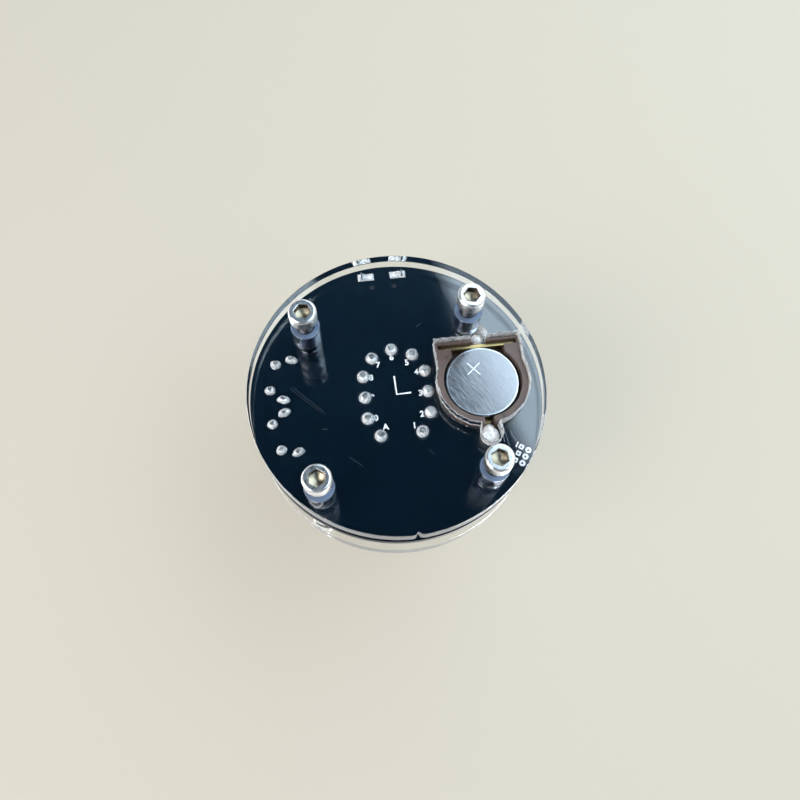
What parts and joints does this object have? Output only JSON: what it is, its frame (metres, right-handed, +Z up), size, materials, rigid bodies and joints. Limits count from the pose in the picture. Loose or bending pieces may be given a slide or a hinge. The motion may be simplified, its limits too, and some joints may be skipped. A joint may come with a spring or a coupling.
{
  "type": "nixie tube clock",
  "caption": "Desk clock with one end-view numeral tube on a round board between clear plates, on screw feet, with two edge buttons, a micro-USB socket and a backup coin cell.",
  "frame": {"origin": "centre of the round plates, on the plane of the four screw heads that it stands on", "axes": "+Z up through the tube's face, +Y towards the micro-USB socket at the rear, +X towards the two buttons"},
  "size_m": [0.05, 0.05, 0.0441],
  "materials": {
    "clear_acrylic": "clear polished acrylic sheet with cut edges",
    "board_lacquer": "glossy black solder mask over glass-epoxy board",
    "screw_steel": "bright stainless steel",
    "foot_sleeve": "translucent bluish nylon",
    "nylon": "natural white nylon",
    "tube_glass": "clear blown glass",
    "pin_wire": "tinned nickel-iron wire",
    "ceramic": "fired white ceramic",
    "shield_metal": "dark blackened nickel",
    "mesh_metal": "fine etched metal mesh",
    "digit_metal": "thin etched metal",
    "getter_metal": "dull metal ring",
    "holder_plastic": "moulded brown-grey plastic",
    "contact_metal": "gilt spring brass",
    "cell_steel": "fine brushed nickel-plated steel",
    "gasket": "black seal",
    "switch_plastic": "black moulded plastic",
    "tinned_sheet": "tinned sheet metal",
    "button_plastic": "black moulded plastic, worn smooth at the tip",
    "socket_shell": "drawn and plated sheet metal",
    "gilt_contact": "gold-plated",
    "chip_resin": "black moulded epoxy",
    "chip_lead": "matt tin plate",
    "ferrite": "dark sintered ferrite",
    "capacitor_sleeve": "dark blue shrink sleeve",
    "capacitor_can": "satin aluminium can",
    "crystal_can": "drawn metal can",
    "resistor": "black glaze with tinned ends",
    "ceramic_capacitor": "tan fired ceramic with tinned ends",
    "solder": "bright solder"
  },
  "bodies": {
    "clock": {"base_plate": "clear_acrylic", "circuit_board": "board_lacquer", "top_plate": "clear_acrylic", "foot_screws": "screw_steel", "foot_sleeves": "foot_sleeve", "lower_spacers": "foot_sleeve", "upper_spacers": "nylon", "nuts": "screw_steel", "tube_glass": "tube_glass", "tube_pins": "pin_wire", "stem_insulator": "ceramic", "shield_can": "shield_metal", "anode_mesh": "mesh_metal", "digit_0": "digit_metal", "digit_1": "digit_metal", "digit_2": "digit_metal", "digit_3": "digit_metal", "digit_4": "digit_metal", "digit_5": "digit_metal", "digit_6": "digit_metal", "digit_7": "digit_metal", "digit_8": "digit_metal", "digit_9": "digit_metal", "support_rods": "mesh_metal", "ceramic_spacers": "ceramic", "getter": "getter_metal", "holder_body": "holder_plastic", "positive_contact": "contact_metal", "negative_contact": "contact_metal", "switch_bodies": "switch_plastic", "switch_brackets": "tinned_sheet", "switch_leads": "tinned_sheet", "snap_discs": "tinned_sheet", "usb_shell": "socket_shell", "usb_insulator": "switch_plastic", "usb_contacts": "gilt_contact", "controller": "chip_resin", "clock_chip": "chip_resin", "register_chip": "chip_resin", "small_transistors": "chip_resin", "chip_leads": "chip_lead", "converter_coil": "ferrite", "hv_capacitor": "capacitor_sleeve", "input_capacitor": "capacitor_can", "crystal": "crystal_can", "rectifier": "chip_resin", "resistors": "resistor", "ceramic_capacitors": "ceramic_capacitor", "header_rings": "solder", "pin_solder": "solder", "switch_solder": "solder", "usb_solder": "solder", "holder_solder": "solder"},
    "cell": {"cell_can": "cell_steel", "cell_gasket": "gasket", "cell_cap": "cell_steel"},
    "rear_button": {"rear_button": "button_plastic"},
    "front_button": {"front_button": "button_plastic"}
  },
  "joints": [
    {"name": "cell_lift", "type": "slide", "parent": "clock", "child": "cell", "axis": [0, 0, -1], "range_m": [0, 0.008]},
    {"name": "rear_button_press", "type": "slide", "parent": "clock", "child": "rear_button", "axis": [-0.9681, -0.2504, 0], "range_m": [0, 0.00025], "stiffness_N_per_m": 500, "springref_m": -0.0004},
    {"name": "front_button_press", "type": "slide", "parent": "clock", "child": "front_button", "axis": [-0.9681, 0.2504, 0], "range_m": [0, 0.00025], "stiffness_N_per_m": 500, "springref_m": -0.0004}
  ]
}
